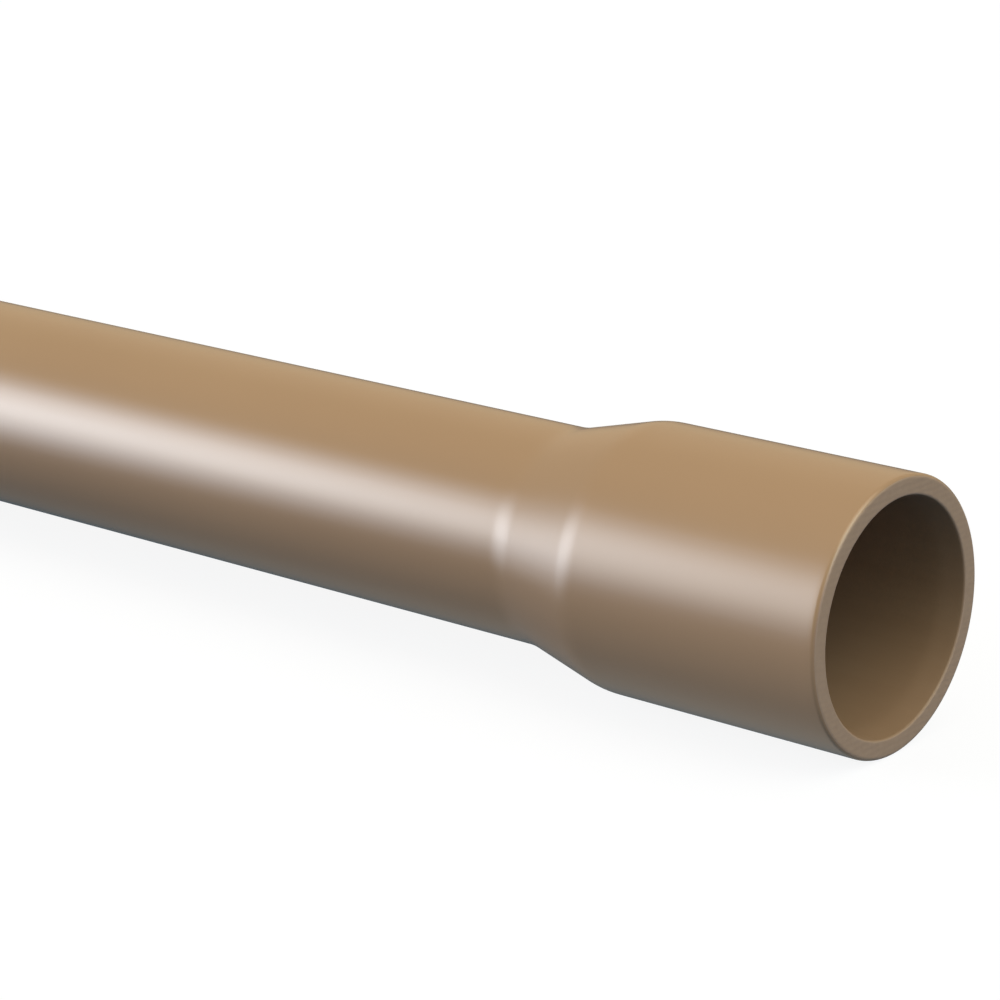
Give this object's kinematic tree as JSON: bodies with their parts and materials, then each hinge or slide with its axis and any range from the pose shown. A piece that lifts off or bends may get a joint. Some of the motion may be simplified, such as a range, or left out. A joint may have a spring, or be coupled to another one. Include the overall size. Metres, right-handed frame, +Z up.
{
  "type": "pvc pipe with belled socket",
  "caption": "Straight brown plastic water pipe, plain at one end and belled into a glued-joint socket at the other.",
  "frame": {"origin": "on the pipe's axis where the socket's straight bore begins, 3 mm inside its mouth", "axes": "+X along the pipe's axis, out of the socket's mouth; the pipe runs toward -X; +Z up as it lies on a floor at Z = -15.3 mm"},
  "size_m": [3, 0.0306, 0.0306],
  "materials": {
    "pvc": "satin extruded unplasticised PVC, brown"
  },
  "bodies": {
    "root": {"pipe": "pvc"}
  },
  "joints": []
}
